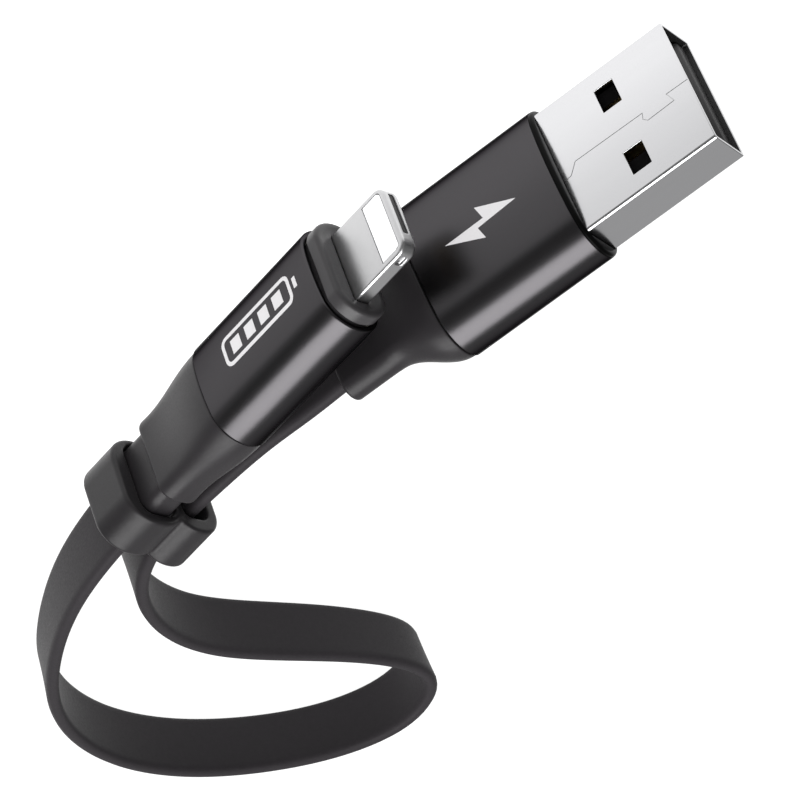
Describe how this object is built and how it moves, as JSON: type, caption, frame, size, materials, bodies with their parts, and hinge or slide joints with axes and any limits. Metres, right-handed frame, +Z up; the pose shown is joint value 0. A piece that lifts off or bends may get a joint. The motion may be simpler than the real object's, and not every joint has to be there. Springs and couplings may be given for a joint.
{
  "type": "flat charging cable",
  "caption": "Short flat charging cable folded into a loop, with a flat metal plug, a small flat-tongue phone plug and a two-loop rubber keeper.",
  "frame": {"origin": "on the surface the cable lies on, under the middle of the box round the two plugs and the keeper", "axes": "+X runs from the large plug's tip along its axis towards the loop, +Y from the plugs towards the loop's far end, +Z up, along the width of the flat cable and of both plugs"},
  "size_m": [0.0869, 0.0664, 0.0146],
  "materials": {
    "steel_shell": "bright nickel-plated steel",
    "usb_insulator": "moulded black plastic",
    "gold_contacts": "thin gold plating",
    "clamp_steel": "stamped tin-plated sheet",
    "inner_mold": "natural hot-melt resin",
    "black_bezel": "glossy black",
    "anodised_barrel": "dark grey anodised, satin to glossy",
    "soft_relief": "soft matte elastomer",
    "tongue_metal": "bright plated steel",
    "pale_panel": "smooth pale resin",
    "board_green": "solder mask",
    "chip_black": "epoxy package",
    "capacitor_tan": "ceramic",
    "collar_plastic": "satin dark grey",
    "cable_jacket": "matte flat jacket",
    "wire_red": "wire insulation",
    "wire_white": "wire insulation",
    "wire_green": "wire insulation",
    "wire_black": "wire insulation",
    "keeper_rubber": "soft matte rubber"
  },
  "bodies": {
    "root": {"usb_shell": "steel_shell", "usb_insulator": "usb_insulator", "usb_power_contacts": "gold_contacts", "usb_data_contacts": "gold_contacts", "usb_rear_clamp": "clamp_steel", "usb_inner_mold": "inner_mold", "usb_front_bezel": "black_bezel", "usb_barrel": "anodised_barrel", "usb_relief": "soft_relief", "phone_tongue_frame": "tongue_metal", "phone_tongue_insert": "pale_panel", "phone_contacts": "gold_contacts", "phone_board": "board_green", "phone_chip": "chip_black", "phone_capacitors": "capacitor_tan", "phone_shield_can": "clamp_steel", "phone_cable_clamp": "clamp_steel", "phone_inner_mold": "inner_mold", "phone_collar": "collar_plastic", "phone_barrel": "anodised_barrel", "phone_relief": "soft_relief", "cable_jacket": "cable_jacket", "wire_power": "wire_red", "wire_data_minus": "wire_white", "wire_data_plus": "wire_green", "wire_ground": "wire_black"},
    "keeper": {"keeper": "keeper_rubber"}
  },
  "joints": [
    {"name": "keeper_slide", "type": "slide", "parent": "root", "child": "keeper", "axis": [0.9673, 0.2538, 0], "range_m": [-0.002, 0.001]}
  ]
}
